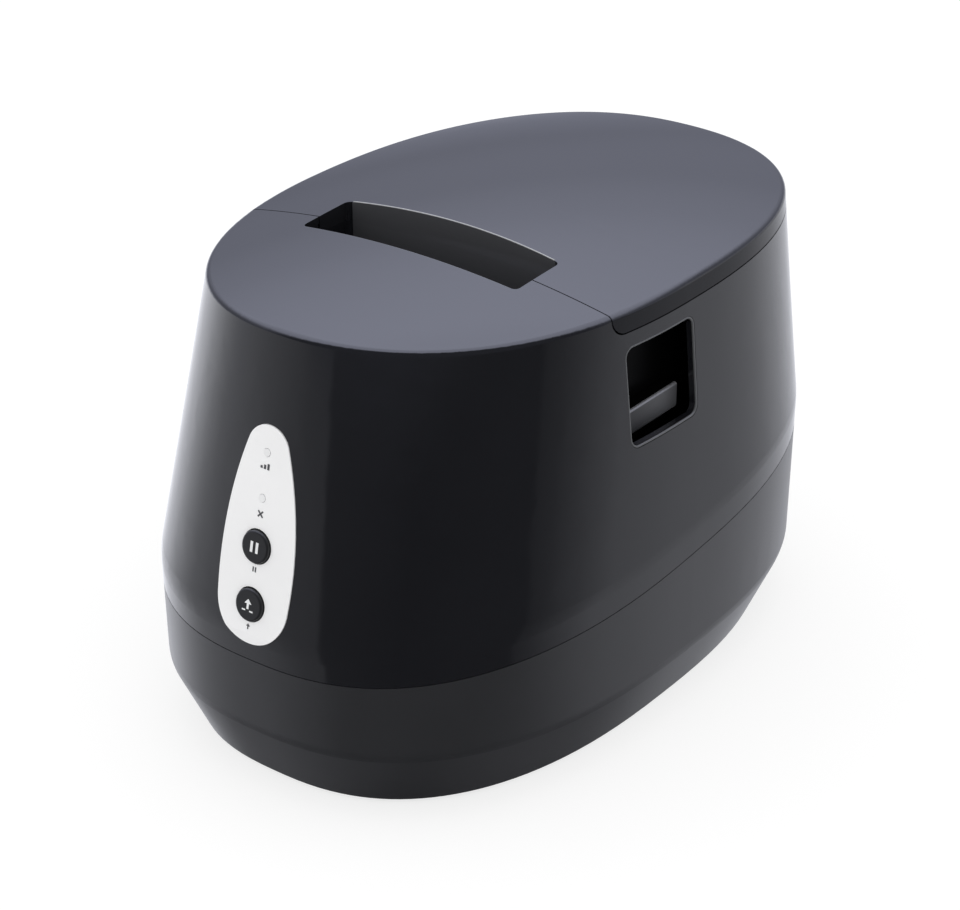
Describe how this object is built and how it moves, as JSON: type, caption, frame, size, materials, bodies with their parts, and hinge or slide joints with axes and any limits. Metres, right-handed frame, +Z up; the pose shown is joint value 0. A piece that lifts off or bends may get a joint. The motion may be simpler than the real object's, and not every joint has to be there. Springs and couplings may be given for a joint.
{
  "type": "receipt printer",
  "caption": "Desktop thermal receipt printer, dark grey rounded casing with crowned hinged lid, paper slot, side release windows and a white two-key front panel",
  "frame": {"origin": "centre of the footprint at table level, under the rubber feet", "axes": "+X to the right seen from the front, +Y towards the rear, the control panel faces -Y, +Z up"},
  "size_m": [0.1604, 0.2384, 0.1545],
  "materials": {
    "casing_plastic": "satin dark grey moulding with a soft sheen",
    "base_plastic": "fine-textured dark grey moulding",
    "panel_white": "smooth white overlay",
    "key_plastic": "dark grey keycap, satin",
    "lamp_lens": "translucent light pipe",
    "inner_black": "black moulding",
    "roller_rubber": "ground rubber",
    "foot_rubber": "soft black rubber",
    "shaft_steel": "ground steel",
    "plate_steel": "zinc-plated sheet",
    "gear_plastic": "natural white gear plastic",
    "motor_steel": "drawn steel can",
    "sink_aluminium": "extruded aluminium",
    "strip_ceramic": "smooth glazed strip",
    "board_green": "solder-masked board",
    "chip_black": "black package",
    "bearing_plastic": "dark bearing plastic"
  },
  "bodies": {
    "printer_body": {"main_casing": "casing_plastic", "base_shell": "base_plastic", "control_panel": "panel_white", "status_lamps": "lamp_lens", "panel_board": "board_green", "board_standoffs": "gear_plastic", "paper_tub": "inner_black", "stepper_motor": "motor_steel", "idler_pin": "shaft_steel", "mechanism_frame": "plate_steel", "head_pin": "shaft_steel", "exit_guide": "inner_black", "head_springs": "shaft_steel", "lever_pins": "shaft_steel", "guide_pinion_pin": "shaft_steel", "main_board": "board_green", "board_chips": "chip_black", "power_inlet": "chip_black", "data_port": "plate_steel", "power_switch": "chip_black", "paper_sensor": "chip_black", "hinge_pin": "shaft_steel", "rubber_feet": "foot_rubber", "base_screws": "shaft_steel"},
    "lid": {"top_cover": "casing_plastic", "platen_carrier": "inner_black", "platen_bushings": "bearing_plastic"},
    "platen": {"platen_roller": "roller_rubber", "platen_shaft": "shaft_steel", "platen_gear": "gear_plastic"},
    "idler": {"idler_gear": "gear_plastic"},
    "rotor": {"motor_pinion": "shaft_steel"},
    "head": {"print_head": "sink_aluminium", "head_strip": "strip_ceramic"},
    "right_lever": {"right_release_lever": "inner_black"},
    "left_lever": {"left_release_lever": "inner_black"},
    "pause_key": {"pause_button": "key_plastic"},
    "feed_key": {"feed_button": "key_plastic"},
    "left_guide": {"left_roll_guide": "inner_black"},
    "right_guide": {"right_roll_guide": "inner_black"},
    "guide_gear": {"guide_pinion": "gear_plastic"},
    "rocker": {"power_rocker": "key_plastic"}
  },
  "joints": [
    {"name": "lid_hinge", "type": "hinge", "parent": "printer_body", "child": "lid", "pos_m": [0, 0.1164, 0.1403], "axis": [-1, 0, 0], "range_deg": [0, 90]},
    {"name": "platen_spin", "type": "hinge", "parent": "lid", "child": "platen", "pos_m": [0, -0.017, 0.12], "axis": [1, 0, 0], "continuous": true},
    {"name": "idler_spin", "type": "hinge", "parent": "printer_body", "child": "idler", "pos_m": [-0.0567, -0.02198, 0.10115], "axis": [1, 0, 0], "continuous": true},
    {"name": "motor_spin", "type": "hinge", "parent": "printer_body", "child": "rotor", "pos_m": [-0.0567, -0.03058, 0.08619], "axis": [1, 0, 0], "continuous": true},
    {"name": "head_swing", "type": "hinge", "parent": "printer_body", "child": "head", "pos_m": [0, -0.0293, 0.1075], "axis": [1, 0, 0], "range_deg": [0, 3], "stiffness_Nm_per_rad": 2},
    {"name": "right_release", "type": "hinge", "parent": "printer_body", "child": "right_lever", "pos_m": [0.066, -0.0125, 0.082], "axis": [0, 1, 0], "range_deg": [0, 4.2], "stiffness_Nm_per_rad": 0.6},
    {"name": "left_release", "type": "hinge", "parent": "printer_body", "child": "left_lever", "pos_m": [-0.066, -0.0125, 0.082], "axis": [0, -1, 0], "range_deg": [0, 4.2], "stiffness_Nm_per_rad": 0.6},
    {"name": "pause_press", "type": "slide", "parent": "printer_body", "child": "pause_key", "axis": [0, 0.9766, -0.2148], "range_m": [0, 0.0008], "stiffness_N_per_m": 1500},
    {"name": "feed_press", "type": "slide", "parent": "printer_body", "child": "feed_key", "axis": [0, 0.9766, -0.2148], "range_m": [0, 0.0008], "stiffness_N_per_m": 1500},
    {"name": "left_guide_slide", "type": "slide", "parent": "printer_body", "child": "left_guide", "axis": [1, 0, 0], "range_m": [0, 0.026]},
    {"name": "right_guide_slide", "type": "slide", "parent": "printer_body", "child": "right_guide", "axis": [-1, 0, 0], "range_m": [0, 0.026]},
    {"name": "guide_gear_turn", "type": "hinge", "parent": "printer_body", "child": "guide_gear", "pos_m": [0, 0.042, 0.015], "axis": [0, 0, 1], "range_deg": [0, 187]},
    {"name": "rocker_tip", "type": "hinge", "parent": "printer_body", "child": "rocker", "pos_m": [0.025, 0.1125, 0.0325], "axis": [-1, 0, 0], "range_deg": [0, 14]}
  ],
  "couplings": [
    {"joint": "idler_spin", "follows": "platen_spin", "ratio": -0.625},
    {"joint": "motor_spin", "follows": "platen_spin", "ratio": 1.4286},
    {"joint": "right_guide_slide", "follows": "left_guide_slide", "ratio": 1},
    {"joint": "guide_gear_turn", "follows": "left_guide_slide", "rad_per_m": 125}
  ]
}
